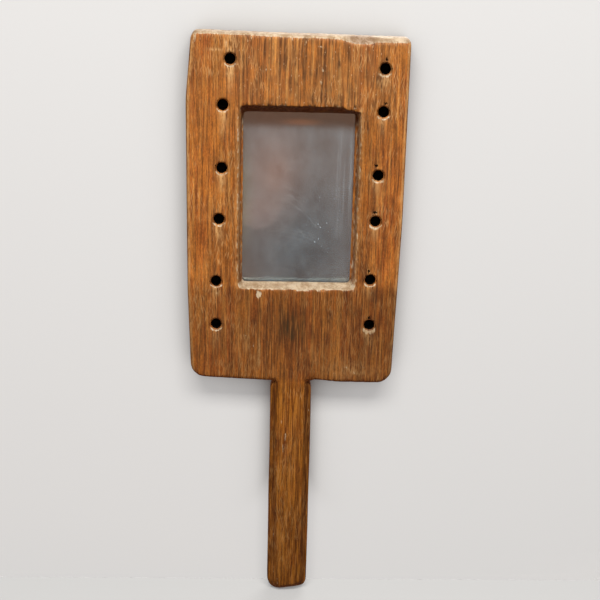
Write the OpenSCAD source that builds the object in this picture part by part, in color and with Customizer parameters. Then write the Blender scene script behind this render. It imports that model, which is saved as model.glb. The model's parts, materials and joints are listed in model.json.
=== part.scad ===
// Handled mirror board: a small looking glass let into a one-piece oak paddle.
//
// +X is to the right, the front faces -Y and +Z is up. The origin is at the foot
// of the handle, half way through the thickness. All sizes are in millimetres.
//
// The glass sits behind a bevelled window. It is held from the back by a card and
// a thin panel, which lies flush in a rebate and is fixed with small brads.

/* [Board] */
// Height from the foot of the handle to the top left corner
total_h = 358.6; // [353:0.2:368]
// Thickness of the head and of the handle
board_t = 16; // [15:0.5:18]
// Width of the head at its widest
head_w = 127.6; // [126:0.2:134]
// Width of the head along its lower edge
head_foot_w = 122.8; // [118:0.2:125]
// Fall of that lower edge from its left corner to its right one
foot_fall = 3.2; // [0:0.2:4]
// How much of a fall it has reached at the left side of the handle
foot_sag = 2.4; // [1.8:0.1:3]
// Fall of the top edge from left to right
top_fall = 2; // [0:0.5:4]
// How far wear has drawn in the top left corner
top_left_wear = 3.4; // [0.4:0.2:5]
// Easing of the head's front and back edges
head_ease = 1.2; // [0.6:0.2:2]

/* [Handle] */
// Length of the handle, up to the head's left lower corner
handle_len = 149.6; // [133:0.2:157]
// Width of the handle
handle_w = 25.8; // [24:0.2:30]
// Radius of the rounded shoulders where the handle meets the head
shoulder_r = 6; // [2:0.5:8]
// Chamfer along the handle's long corners
handle_ease = 4; // [2:0.2:5]
// Slant of the butt end, which rises to the right, in degrees
butt_slant = 8; // [2:1:10]

/* [Window] */
// Width of the opening at the glass
sight_w = 63.5; // [56:0.5:64]
// Height of the opening at the glass
sight_h = 101.6; // [90:0.2:102]
// Height of the window's centre above the foot of the handle
sight_z = 259.7; // [258:0.1:262]
// Distance of the window's centre to the right of the handle's axis
sight_x = 1.8; // [0:0.1:2]
// Depth of the glass below the front face
sight_depth = 10.8; // [9:0.1:11]
// Width of the bevel on each side of the window
bevel_side = 3.4; // [1:0.1:4]
// Width of the bevel above the window
bevel_top = 5.2; // [1:0.1:6]
// Width of the bevel below the window
bevel_foot = 1.8; // [1:0.1:4]

/* [Mirror] */
// Thickness of the glass
glass_t = 2; // [1.6:0.1:2.2]
// Thickness of the silvering
silvering_t = 0.2; // [0.1:0.05:0.3]
// Thickness of the packing card
card_t = 0.6; // [0.4:0.1:0.8]
// How far the glass runs behind the board on every side
glass_lap = 3.2; // [2.5:0.1:3.4]
// Play round the glass in its rebate
glass_play = 0.3; // [0.1:0.1:0.5]

/* [Back panel] */
// Width of the ledge that the panel rests on
ledge_w = 3.4; // [3:0.1:3.8]
// Play round the panel in its rebate
panel_play = 0.2; // [0.1:0.1:0.3]

/* [Brads] */
// Diameter of a brad's shank
brad_d = 1.2; // [1:0.1:1.4]
// Diameter of a brad's head
brad_head_d = 2.2; // [1.8:0.1:2.3]
// Thickness of a brad's head
brad_head_t = 0.5; // [0.4:0.1:0.8]
// Length of a brad with its head
brad_len = 10; // [8:0.5:12]

/* [Lace holes] */
// Diameter of every lace hole
lace_d = 6.35; // [5:0.05:6.5]
// Left row, from the lowest hole up, each as [x, z]
left_holes = [[-46, 184.1], [-46, 211.1], [-44.5, 249.1],
              [-43, 279.6], [-42.5, 316.1], [-38.5, 342.1]]; // x from -50 to -38
// Right row, from the lowest hole up, each as [x, z]
right_holes = [[46.5, 184.6], [46, 213.1], [47.5, 249.1],
               [48, 276.6], [49.5, 313.6], [49.5, 338.1]]; // x from 45 to 52

/* [Hidden] */

$fn = 48;
// Turn of one straight step along a rounded corner, in degrees
arc_step = 12;
// Overrun of every cut, so that it passes clean through a face
cut = 1;
// Clearance round a brad in its holes
brad_play = 0.02;

// Places along Y: the front and back faces, and each layer behind the window
front_y = -board_t / 2;
back_y = board_t / 2;
glass_y = front_y + sight_depth;
silvering_y = glass_y + glass_t;
card_y = silvering_y + silvering_t;
panel_y = card_y + card_t;

// Sizes of the layers behind the window
glass_w = sight_w + 2 * glass_lap;
glass_h = sight_h + 2 * glass_lap;
glass_rebate_w = glass_w + 2 * glass_play;
glass_rebate_h = glass_h + 2 * glass_play;
panel_rebate_w = glass_rebate_w + 2 * ledge_w;
panel_rebate_h = glass_rebate_h + 2 * ledge_w;
panel_w = panel_rebate_w - 2 * panel_play;
panel_h = panel_rebate_h - 2 * panel_play;
// Corner radii of the window at the glass and at its lip, and of panes and rebates
sight_r = 1;
lip_r = 2.6;
pane_r = 0.8;

// Brads run round the middle of the ledge: three up each side, one above, one below
brad_x = glass_rebate_w / 2 + ledge_w / 2;
brad_z = glass_rebate_h / 2 + ledge_w / 2;
brad_rise = 44;
brads = [for (side = [-1, 1]) for (row = [-1 : 1])
             [sight_x + side * brad_x, sight_z + row * brad_rise],
         [sight_x, sight_z - brad_z],
         [sight_x, sight_z + brad_z]];

// Radii of the head's lower corners and of its two upper ones
foot_corner_r = 9;
top_right_r = 5;
top_left_r = 6;
// Heights where the sides turn, below the top: the right side once, the left side twice,
// each turn as [drop, radius]
right_turn = [112, 220];
left_upper_turn = [40, 40];
left_lower_turn = [154, 150];
// How far the left side has already drawn in at its lower turn
left_lower_draw = 0.5;

// Radius of the slight turn in the lower edge, at the left side of the handle
foot_turn_r = 60;

// The head's outline, anticlockwise from the lower left, each corner as [x, z, radius].
// Its sides bow outwards a little from the lower edge to the widest part.
side = head_w / 2;
foot_side = head_foot_w / 2;
head_corners = [
    [-foot_side, handle_len, foot_corner_r],
    [-handle_w / 2, handle_len - foot_sag, foot_turn_r],
    [foot_side, handle_len - foot_fall, foot_corner_r],
    [side, total_h - right_turn[0], right_turn[1]],
    [side, total_h - top_fall, top_right_r],
    [top_left_wear - side, total_h, top_left_r],
    [-side, total_h - left_upper_turn[0], left_upper_turn[1]],
    [left_lower_draw - side, total_h - left_lower_turn[0], left_lower_turn[1]]];

// The handle's outline. The butt's left corner is set so that its arc ends at z = 0,
// and each shoulder rises just far enough to meet the head's lower edge.
shoulder_rise = 0.6;
left_shoulder_z = handle_len - foot_sag + shoulder_rise;
right_sag = foot_sag + (foot_fall - foot_sag) * handle_w / (foot_side + handle_w / 2);
right_shoulder_z = handle_len - right_sag + shoulder_rise;
butt_left_r = 8;
butt_right_r = 5;
butt_left_z = butt_left_r * (1 - (1 + sin(butt_slant)) / cos(butt_slant));
butt_right_z = butt_left_z + handle_w * tan(butt_slant);
handle_corners = [
    [-handle_w / 2, butt_left_z, butt_left_r],
    [handle_w / 2, butt_right_z, butt_right_r],
    [handle_w / 2, right_shoulder_z, shoulder_r],
    [-handle_w / 2, left_shoulder_z, shoulder_r]];
// The neck: the handle's flat front and back run on into the head at their full width
neck_w = handle_w - 2 * handle_ease;
neck_overlap = 12;

function unit(v) = v / norm(v);
function flat(corner) = [corner.x, corner.y];

// The arc that rounds one corner, tangent to the edges on both sides of it
function corner_arc(before, at, after, r) =
    let (to_before = unit(before - at),
         to_after = unit(after - at),
         half = acos(to_before * to_after) / 2,
         centre = at + unit(to_before + to_after) * r / sin(half),
         first = at + to_before * r / tan(half) - centre,
         from = atan2(first.y, first.x),
         turn = (180 - 2 * half) * sign(cross(at - before, after - at)),
         steps = max(2, ceil(abs(turn) / arc_step)))
    [for (i = [0 : steps]) centre + r * [cos(from + turn * i / steps),
                                         sin(from + turn * i / steps)]];

// All points of an outline whose corners are rounded
function rounded(corners) =
    let (n = len(corners))
    [for (i = [0 : n - 1])
        each corner_arc(flat(corners[(i + n - 1) % n]), flat(corners[i]),
                        flat(corners[(i + 1) % n]), corners[i][2])];

// The smallest radius that any corner keeps
least_r = 0.4;

// The same outline drawn in by d on every side
function inset(corners, d) =
    let (n = len(corners))
    [for (i = [0 : n - 1])
        let (at = flat(corners[i]),
             arrive = unit(at - flat(corners[(i + n - 1) % n])),
             leave = unit(flat(corners[(i + 1) % n]) - at),
             inward = [-arrive.y, arrive.x],
             bisector = unit(inward + [-leave.y, leave.x]),
             moved = at + bisector * d / (bisector * inward))
        [moved.x, moved.y, max(corners[i][2] - d, least_r)]];

// Corners of an upright rectangle, from its edges
function rect_corners(left, right, low, high, r) =
    [[left, low, r], [right, low, r], [right, high, r], [left, high, r]];

// Corners of a rectangle centred on the window
function pane_corners(w, h, r) =
    rect_corners(sight_x - w / 2, sight_x + w / 2, sight_z - h / 2, sight_z + h / 2, r);

// An upright plate with the given outline, between two places along Y
module plate(corners, from_y, to_y) {
    translate([0, to_y, 0])
        rotate([90, 0, 0])
            linear_extrude(to_y - from_y) polygon(rounded(corners));
}

// A board-thick plate whose front and back edges are eased
module eased_board(corners, ease) {
    hull() {
        plate(corners, front_y + ease, back_y - ease);
        plate(inset(corners, ease), front_y, back_y);
    }
}

// A round rod along Y through one point of the front view
module rod(at, d, from_y, to_y) {
    translate([at.x, to_y, at.y])
        rotate([90, 0, 0])
            cylinder(d = d, h = to_y - from_y);
}

// The bevelled window: it narrows from its lip on the front face to the sight
module window_cut() {
    skin = 0.01;
    lip = rect_corners(sight_x - sight_w / 2 - bevel_side, sight_x + sight_w / 2 + bevel_side,
                       sight_z - sight_h / 2 - bevel_foot, sight_z + sight_h / 2 + bevel_top,
                       lip_r);
    hull() {
        plate(lip, front_y - skin, front_y);
        plate(pane_corners(sight_w, sight_h, sight_r), glass_y, glass_y + skin);
    }
    plate(pane_corners(sight_w, sight_h, sight_r), glass_y - skin, glass_y + cut);
}

// The two steps of the rebate behind the window: the deep one for glass and card,
// and the wide, shallow one for the panel
module rebate_cut() {
    plate(pane_corners(glass_rebate_w, glass_rebate_h, pane_r), glass_y, back_y + cut);
    plate(pane_corners(panel_rebate_w, panel_rebate_h, pane_r), panel_y, back_y + cut);
}

// The paddle: head and handle in one piece of oak
module board() {
    color("#a0642f")
        difference() {
            union() {
                eased_board(head_corners, head_ease);
                eased_board(handle_corners, handle_ease);
                plate(rect_corners(-neck_w / 2, neck_w / 2, handle_len - neck_overlap,
                                   handle_len + neck_overlap, least_r),
                      front_y, back_y);
            }
            window_cut();
            rebate_cut();
            for (at = concat(left_holes, right_holes)) {
                rod(at, lace_d, front_y - cut, back_y + cut);
            }
            for (at = brads) {
                rod(at, brad_d + 2 * brad_play, back_y - brad_len - brad_play, back_y);
            }
        }
}

// The pane of the mirror
module mirror_glass() {
    color("#c4d2cf", 0.4)
        plate(pane_corners(glass_w, glass_h, pane_r), glass_y, silvering_y);
}

// The metal foil that makes the pane a mirror
module mirror_silvering() {
    color("#8d8a88")
        plate(pane_corners(glass_w, glass_h, pane_r), silvering_y, card_y);
}

// The card that beds the glass and keeps the panel off the silvering
module packing_card() {
    color("#9c8a6c")
        plate(pane_corners(glass_w, glass_h, pane_r), card_y, panel_y);
}

// The thin wooden panel that closes the back, flush with it
module back_panel() {
    color("#8a5a33")
        difference() {
            plate(pane_corners(panel_w, panel_h, pane_r), panel_y, back_y);
            for (at = brads) {
                rod(at, brad_d + 2 * brad_play, panel_y - cut, back_y + cut);
                rod(at, brad_head_d + 2 * brad_play, back_y - brad_head_t, back_y + cut);
            }
        }
}

// The brads that hold the panel, their heads sunk flush with it
module panel_brads() {
    color("#4a4038")
        for (at = brads) {
            rod(at, brad_d, back_y - brad_len, back_y - brad_head_t);
            rod(at, brad_head_d, back_y - brad_head_t, back_y);
        }
}

board();
mirror_glass();
mirror_silvering();
packing_card();
back_panel();
panel_brads();
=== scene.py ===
"""Looks for a handled mirror board: an oak paddle with a bevelled window over an old looking glass.

Shapes and marks are worked out in millimetres, in the object's own frame: +X to the right, the
front faces -Y, +Z up from the foot of the handle. Blender's objects and the stage are in metres.
"""

import json
import math

import bmesh
import bpy
import numpy as np
import openvdb
from mathutils import Matrix, Vector


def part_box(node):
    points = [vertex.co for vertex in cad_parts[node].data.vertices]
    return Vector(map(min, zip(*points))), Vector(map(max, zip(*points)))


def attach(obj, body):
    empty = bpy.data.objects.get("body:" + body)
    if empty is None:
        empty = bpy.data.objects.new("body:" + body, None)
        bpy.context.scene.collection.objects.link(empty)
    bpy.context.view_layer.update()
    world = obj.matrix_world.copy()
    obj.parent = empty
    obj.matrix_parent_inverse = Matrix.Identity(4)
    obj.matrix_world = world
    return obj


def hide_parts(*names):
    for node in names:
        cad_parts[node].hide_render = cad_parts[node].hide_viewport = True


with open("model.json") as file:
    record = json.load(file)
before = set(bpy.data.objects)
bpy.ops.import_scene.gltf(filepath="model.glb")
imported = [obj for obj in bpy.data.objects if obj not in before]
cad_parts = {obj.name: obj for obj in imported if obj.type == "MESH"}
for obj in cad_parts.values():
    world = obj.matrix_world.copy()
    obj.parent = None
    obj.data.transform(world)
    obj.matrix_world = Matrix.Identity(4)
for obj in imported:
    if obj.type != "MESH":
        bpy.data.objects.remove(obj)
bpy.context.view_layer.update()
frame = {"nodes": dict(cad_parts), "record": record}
MM = 0.001

# ------------------------ places taken from the frame


def box_mm(node):
    """Lowest and highest corner of a CAD node, in millimetres."""
    low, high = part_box(node)
    return np.array(low) / MM, np.array(high) / MM


BOARD_LO, BOARD_HI = box_mm("board")
GLASS_LO, GLASS_HI = box_mm("mirror_glass")
PANEL_LO, PANEL_HI = box_mm("back_panel")
FRONT_Y, BACK_Y = BOARD_LO[1], BOARD_HI[1]
TOP_Z = BOARD_HI[2]

# The lace holes: the record's bores, as (x, z)
BORES = [m for m in frame["record"]["mounts"] if m["kind"] == "bore"]
LACE_HOLES = [(m["pos_m"][0] / MM, m["pos_m"][2] / MM) for m in BORES]
LACE_R = BORES[0]["dims"]["r_mm"]
# The highest hole on the left has a worn loop above it, the lowest on the right a patch below
LOOP_HOLE = max((z, k) for k, (x, z) in enumerate(LACE_HOLES) if x < 0)[1]
PATCH_HOLE = min((z, k) for k, (x, z) in enumerate(LACE_HOLES) if x > 0)[1]

# The window in front of the glass, with the CAD model's bevels: the sight is its opening at the
# glass, and the lip is its edge on the front face
GLASS_LAP = 3.2
BEVEL_SIDE, BEVEL_TOP, BEVEL_FOOT = 3.4, 5.2, 1.8
SIGHT_LEFT, SIGHT_RIGHT = GLASS_LO[0] + GLASS_LAP, GLASS_HI[0] - GLASS_LAP
SIGHT_FOOT, SIGHT_TOP = GLASS_LO[2] + GLASS_LAP, GLASS_HI[2] - GLASS_LAP
SIGHT_DEPTH = GLASS_LO[1] - FRONT_Y
LIP_LEFT, LIP_RIGHT = SIGHT_LEFT - BEVEL_SIDE, SIGHT_RIGHT + BEVEL_SIDE
LIP_FOOT, LIP_TOP = SIGHT_FOOT - BEVEL_FOOT, SIGHT_TOP + BEVEL_TOP
# Its middle: marks in the mirror and on the front are placed as (x, z) from here
MID_X, MID_Z = float(SIGHT_LEFT + SIGHT_RIGHT) / 2, float(SIGHT_FOOT + SIGHT_TOP) / 2
# How far the upper lip hangs lower at its right-hand end, and how long a stretch of it
LIP_DROOP, DROOP_LEN = 2.6, 17

# The handle's length up to the head, and half its width
HANDLE_LEN, HANDLE_HALF_W = 149.6, 12.9
# Its lower end: the height on the axis, the rise towards the right, and how much is rubbed off
FOOT_Z, FOOT_SLOPE, FOOT_RUB = 0.61, 0.14, 2.4

# ------------------------ smooth random fields

LATTICE = 64


def smooth_noise(x, y, z, scale, seed):
    """Value noise from -1 to 1, with the given size of its features along each axis."""
    table = np.random.default_rng(seed).random((LATTICE,) * 3, dtype=np.float32)
    cells, parts = [], []
    for value, size in zip((x, y, z), scale):
        place = np.asarray(value, np.float32) / size
        low = np.floor(place)
        part = place - low
        parts.append(part * part * (3 - 2 * part))
        cells.append(low.astype(np.int64))
    total = 0.0
    for corner in range(8):
        weight = 1.0
        index = []
        for axis in range(3):
            step = (corner >> axis) & 1
            weight = weight * (parts[axis] if step else 1 - parts[axis])
            index.append((cells[axis] + step) % LATTICE)
        total = total + weight * table[index[0], index[1], index[2]]
    return 2 * total - 1


def ramp(value, low, high):
    """0 up to low, 1 from high on, smooth between; low may be the greater of the two."""
    t = np.clip((value - low) / (high - low), 0, 1)
    return t * t * (3 - 2 * t)


def blob(x, z, at, size):
    """1 at a point of the front view, falling to nearly 0 at twice size away from it."""
    return np.exp(-((x - at[0]) / size[0]) ** 2 - ((z - at[1]) / size[1]) ** 2)


def blobs(x, z, marks):
    """The sum of several blobs, each given as its place from the window's middle, its size and its
    strength."""
    return sum(strength * blob(x, z, (MID_X + dx, MID_Z + dz), size)
               for (dx, dz), size, strength in marks)


# ------------------------ solids as distance fields


def cad_field(node, voxel, reach):
    """Signed distance to a CAD node on a regular grid, and the grid's coordinates x, y, z."""
    mesh = frame["nodes"][node].data
    mesh.calc_loop_triangles()
    points = np.empty(len(mesh.vertices) * 3, np.float32)
    mesh.vertices.foreach_get("co", points)
    triangles = np.empty(len(mesh.loop_triangles) * 3, np.int32)
    mesh.loop_triangles.foreach_get("vertices", triangles)
    grid = openvdb.FloatGrid.createLevelSetFromPolygons(
        points.reshape(-1, 3).astype(float) / MM,
        triangles=triangles.reshape(-1, 3).astype(np.uint32),
        transform=openvdb.createLinearTransform(voxelSize=voxel),
        halfWidth=reach / voxel)
    low, high = (np.array(c) for c in grid.evalActiveVoxelBoundingBox())
    field = np.full(high - low + 1, grid.background, np.float32)
    grid.copyToArray(field, ijk=[int(v) for v in low])
    axes = [(np.arange(n) + a) * voxel for n, a in zip(field.shape, low)]
    return field, *np.meshgrid(*axes, indexing="ij", sparse=True)


def softened(field, passes):
    """The field averaged with its neighbours, which rounds every edge a little more each time."""
    for _ in range(passes):
        for axis in range(3):
            field = (np.roll(field, 1, axis) + 2 * field + np.roll(field, -1, axis)) / 4
    return field


def field_mesh(name, field, x, y, z):
    """A mesh of the field's zero surface. Its cells are twice as long along the grain as across."""
    grid = openvdb.FloatGrid(float(field.max()))
    grid.copyFromArray(np.ascontiguousarray(field[:, :, ::2], dtype=np.float32))
    points, quads = grid.convertToQuads(isovalue=0.0)
    voxel = float(x[1, 0, 0] - x[0, 0, 0])
    points = points * [voxel, voxel, 2 * voxel] + [x.min(), y.min(), z.min()]
    mesh = bpy.data.meshes.new(name)
    mesh.from_pydata(points.tolist(), [], quads.tolist())
    mesh.validate()
    return mesh


def mesh_points(mesh):
    """Vertex positions and normals of a mesh, each as three arrays."""
    points = np.empty(len(mesh.vertices) * 3, np.float32)
    mesh.vertices.foreach_get("co", points)
    normals = np.empty(len(mesh.vertices) * 3, np.float32)
    mesh.vertex_normals.foreach_get("vector", normals)
    return points.reshape(-1, 3).T, normals.reshape(-1, 3).T


def add_piece(mesh, material, node):
    """The piece that stands for a CAD node: smooth shaded, riding on the object's one body."""
    piece = bpy.data.objects.new(mesh.name, mesh)
    bpy.context.scene.collection.objects.link(piece)
    mesh.materials.append(material)
    mesh.polygons.foreach_set("use_smooth", [True] * len(mesh.polygons))
    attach(piece, "root")
    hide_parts(node)
    return piece


# ------------------------ shader nodes in short form


def srgb(red, green, blue):
    """A colour given as it looks, 0 to 255, turned into the linear values that shaders use."""
    def linear(c):
        c = c / 255
        return c / 12.92 if c <= 0.04045 else ((c + 0.055) / 1.055) ** 2.4
    return (linear(red), linear(green), linear(blue), 1.0)


class Nodes:
    """The nodes of one tree, with short forms for making and linking them."""

    def __init__(self, tree):
        self.nodes, self.links = tree.nodes, tree.links

    def feed(self, socket, value):
        """Links an output to a socket, or sets the socket's own value."""
        if isinstance(value, bpy.types.NodeSocket):
            self.links.new(value, socket)
        else:
            socket.default_value = value

    def fill(self, node, **inputs):
        """Feeds a node's inputs, named with underscores for spaces."""
        for name, value in inputs.items():
            self.feed(node.inputs[name.replace("_", " ")], value)
        return node

    def node(self, kind, **inputs):
        """A new node with its inputs fed."""
        return self.fill(self.nodes.new("ShaderNode" + kind), **inputs)

    def mix(self, share, a, b, blend="MIX"):
        """Colour a blended with colour b."""
        node = self.node("Mix")
        node.data_type, node.blend_type = "RGBA", blend
        first, second = [i for i in node.inputs if i.type == "RGBA"]
        for socket, value in ((node.inputs["Factor"], share), (first, a), (second, b)):
            self.feed(socket, value)
        return next(o for o in node.outputs if o.type == "RGBA")


class Shader(Nodes):
    """One material with a single Principled shader, and short forms for what feeds it."""

    def __init__(self, name):
        self.material = bpy.data.materials.new(name)
        self.material.use_nodes = True
        super().__init__(self.material.node_tree)
        self.principled = self.nodes["Principled BSDF"]
        self.place = self.vector("SCALE", self.node("TexCoord").outputs["Object"], scale=1 / MM)

    def set(self, **inputs):
        """Feeds the shader's inputs."""
        self.fill(self.principled, **inputs)

    def vector(self, operation, a, b=None, scale=None):
        """The result of a vector maths node."""
        node = self.node("VectorMath")
        node.operation = operation
        self.feed(node.inputs[0], a)
        if b is not None:
            self.feed(node.inputs[1], b)
        if scale is not None:
            node.inputs["Scale"].default_value = scale
        return node.outputs["Value" if operation == "LENGTH" else "Vector"]

    def maths(self, operation, a, b=0.0):
        """The result of a maths node."""
        node = self.node("Math")
        node.operation = operation
        self.feed(node.inputs[0], a)
        self.feed(node.inputs[1], b)
        return node.outputs[0]

    def times(self, a, b):
        return self.maths("MULTIPLY", a, b)

    def plus(self, a, b):
        return self.maths("ADD", a, b)

    def axis(self, letter):
        """The place along one axis, in millimetres."""
        return self.node("SeparateXYZ", Vector=self.place).outputs[letter]

    def reach(self, at, size=(1, 1)):
        """How far it is from a mark, which is placed from the window's middle, in the front view.
        The way is measured in the given sizes along x and z."""
        away = self.vector("SUBTRACT", self.place, (MID_X + at[0], 0, MID_Z + at[1]))
        away = self.vector("MULTIPLY", away, (1 / size[0], 0, 1 / size[1]))
        return self.vector("LENGTH", away)

    def spot(self, at, size, soft=1.0):
        """1 round a mark, falling to 0 at an ellipse of the given size."""
        return self.ramp(self.reach(at, size), 1.0, 1.0 - soft)

    def texture(self, place, detail, roughness=0.5, sway=0.0):
        """Noise from about 0 to 1, with features about 1 across."""
        return self.node("TexNoise", Vector=place, Scale=1.0, Detail=detail, Roughness=roughness,
                         Distortion=sway).outputs["Fac"]

    def noise(self, size, detail=2.0, roughness=0.5, shift=0.0, sway=0.0, turn=0.0):
        """Noise from about 0 to 1, with features of the given size in millimetres on each axis.
        The axes can be turned in the front view, by an angle in degrees."""
        place = self.place
        if turn:
            node = self.node("VectorRotate", Vector=place, Angle=math.radians(turn))
            node.rotation_type = "Y_AXIS"
            place = node.outputs[0]
        stretched = self.vector("MULTIPLY", place, [1 / s for s in size])
        return self.texture(self.vector("ADD", stretched, [shift] * 3), detail, roughness, sway)

    def arcs(self, at, shift):
        """Hair-fine arcs, unevenly spaced, round a mark."""
        place = self.node("CombineXYZ", X=self.times(self.reach(at), 1.2), Y=shift).outputs[0]
        return self.ramp(self.texture(place, 1.0), 0.58, 0.68)

    def ramp(self, value, low, high, to_low=0.0, to_high=1.0):
        """A smooth step of the value from low to high, mapped to the given outputs."""
        node = self.node("MapRange", Value=value, From_Min=low, From_Max=high, To_Min=to_low,
                         To_Max=to_high)
        node.interpolation_type = "SMOOTHSTEP"
        return node.outputs["Result"]

    def mask(self, name):
        """A number stored on the mesh's vertices."""
        node = self.node("Attribute")
        node.attribute_name = name
        return node.outputs["Fac"]

    def grey(self, value):
        """A number as a grey colour."""
        return self.node("CombineColor", Red=value, Green=value, Blue=value).outputs[0]

    def bump(self, height, depth):
        """Feeds the shader's normal from a height that runs from 0 to 1 over depth millimetres."""
        node = self.node("Bump", Strength=1.0, Distance=depth * MM, Height=height)
        self.set(Normal=node.outputs["Normal"])


# ------------------------ materials


WHITE = (1.0, 1.0, 1.0, 1.0)
# How old oil yellows bare oak
OLD_OIL = (1.0, 0.965, 0.8, 1.0)


def oak_material():
    """Old oiled oak: straight open grain, darkened by handling and by painted shade, worn pale or
    painted lighter where the masks say.
    """
    s = Shader("old_oak")
    pale, aged, dark, painted_shade, weather, polish, rubbed, grime = (s.mask(n) for n in OAK_MASKS)
    broad = s.noise((20, 24, 80), 2, shift=3)
    band = s.noise((4, 7, 60), 2, 0.5, shift=13, sway=0.3)
    coarse = s.noise((2.1, 4, 75), 3, 0.6, shift=7, sway=0.3)
    fine = s.noise((0.95, 1.4, 25), 3, 0.65, shift=1)
    pores = s.noise((0.6, 0.8, 7), 1, shift=9)
    flecks = s.noise((0.8, 0.9, 2.6), 2, 0.6, shift=5)
    mottle = s.noise((5, 7, 11), 3, 0.6, shift=15)
    grit = s.noise((0.55, 0.6, 1.5), 1, shift=17)
    redness = s.noise((7, 9, 24), 2, shift=19)

    colour = s.mix(s.ramp(broad, 0.35, 0.65), srgb(146, 80, 27), srgb(164, 99, 35))
    colour = s.mix(s.times(polish, 0.25), colour, srgb(170, 112, 32))
    colour = s.mix(s.times(s.ramp(mottle, 0.48, 0.66), 0.5), colour, srgb(186, 114, 49))
    colour = s.mix(s.times(s.ramp(mottle, 0.45, 0.33), 0.4), colour, srgb(130, 68, 30))
    colour = s.mix(s.times(s.ramp(band, 0.5, 0.7), 0.5), colour, srgb(178, 118, 55))
    colour = s.mix(s.times(s.ramp(redness, 0.5, 0.68), 0.25), colour, srgb(160, 74, 28))
    colour = s.mix(s.times(s.ramp(coarse, 0.52, 0.68), 0.6), colour, srgb(188, 127, 60))
    colour = s.mix(s.times(s.ramp(coarse, 0.48, 0.34), 0.4), colour, srgb(116, 62, 24))
    tone = s.times(s.ramp(fine, 0.36, 0.64, 0.6, 1.24), s.ramp(grit, 0.3, 0.7, 0.8, 1.18))
    colour = s.mix(1.0, colour, s.grey(tone), "MULTIPLY")
    colour = s.mix(1.0, colour, OLD_OIL, "MULTIPLY")
    colour = s.mix(s.times(s.ramp(pores, 0.55, 0.67), 0.5), colour, srgb(70, 36, 14))
    colour = s.mix(s.times(s.times(polish, s.ramp(fine, 0.5, 0.62)), 0.4), colour, srgb(208, 142, 54))
    colour = s.mix(s.times(s.times(polish, s.ramp(coarse, 0.48, 0.36)), 0.4), colour, srgb(96, 48, 16))

    # Weathered grain: grey-brown furrows between pale ridges
    furrow = s.mix(s.ramp(fine, 0.38, 0.58), srgb(74, 46, 20), srgb(138, 88, 42))
    ridge = s.times(s.ramp(coarse, 0.5, 0.66), s.ramp(mottle, 0.36, 0.56))
    ridged = s.mix(ridge, furrow, srgb(184, 136, 78))
    worn = s.times(weather, s.ramp(mottle, 0.62, 0.4, 0.35, 0.85))
    colour = s.mix(worn, colour, ridged)
    fleck = s.times(s.ramp(flecks, 0.64, 0.72), s.plus(s.times(weather, 0.8), 0.08))
    colour = s.mix(s.times(fleck, 0.6), colour, srgb(214, 182, 136))

    # Soft streaks rubbed by a lace, in fresh-looking wood
    streaked = s.times(rubbed, s.ramp(s.plus(s.times(fine, 0.5), s.times(flecks, 0.5)), 0.36, 0.56))
    colour = s.mix(streaked, colour, srgb(206, 158, 100))

    # Short scratches beside the grain, gathered in patches
    left = s.ramp(s.noise((0.6, 1.6, 6), 0, shift=21, turn=-13), 0.6, 0.72)
    right = s.ramp(s.noise((0.6, 1.6, 7), 0, shift=27, turn=10), 0.6, 0.72)
    gathered = s.times(s.ramp(s.noise((13, 16, 15), 2, shift=29), 0.44, 0.62), 0.45)
    colour = s.mix(s.times(s.maths("MAXIMUM", left, right), gathered), colour, srgb(206, 158, 100))

    # Hands and dirt darken it, and painted shade darkens its sides, recesses and hole rims
    colour = s.mix(dark, colour, s.mix(1.0, colour, srgb(96, 81, 42), "MULTIPLY"))
    colour = s.mix(s.times(grime, s.ramp(fine, 0.3, 0.7, 1.0, 0.65)), colour, srgb(50, 38, 16))

    # Fine light threads in the grain
    threads = s.ramp(s.noise((0.7, 1, 16), 1, shift=45), 0.56, 0.68)
    colour = s.mix(s.times(threads, 0.34), colour, srgb(192, 130, 66))

    # Bare worn wood, with a broken edge; on the sill, the top edge and the window's right wall it is
    # also painted light
    broken = s.plus(pale, s.times(s.plus(flecks, -0.5), 1.1))
    bare = s.mix(s.ramp(s.plus(s.times(mottle, 0.65), s.times(flecks, 0.35)), 0.4, 0.6),
                 srgb(162, 135, 100), srgb(204, 184, 153))
    bare = s.mix(aged, bare, s.mix(1.0, bare, srgb(196, 184, 182), "MULTIPLY"))
    colour = s.mix(s.ramp(broken, 0.35, 0.8), colour, bare)
    # Painted shade: near black and without gloss in the lace holes, round their rims and in the nicks
    # above them
    uneven = s.plus(s.times(s.plus(flecks, -0.5), 0.8), s.times(s.plus(grit, -0.5), 0.9))
    shade_black = s.ramp(s.plus(painted_shade, uneven), 0.42, 0.62)
    colour = s.mix(shade_black, colour, srgb(12, 9, 7))

    rough = s.maths("SUBTRACT", s.ramp(fine, 0.3, 0.7, 0.68, 0.54), s.times(polish, 0.2))
    height = s.plus(s.times(fine, 0.7), s.times(pores, -0.5))
    s.bump(height, 0.3)
    s.set(Base_Color=colour, Roughness=rough, Specular_IOR_Level=s.ramp(shade_black, 0, 1, 0.3, 0.0))
    return s.material


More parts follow.
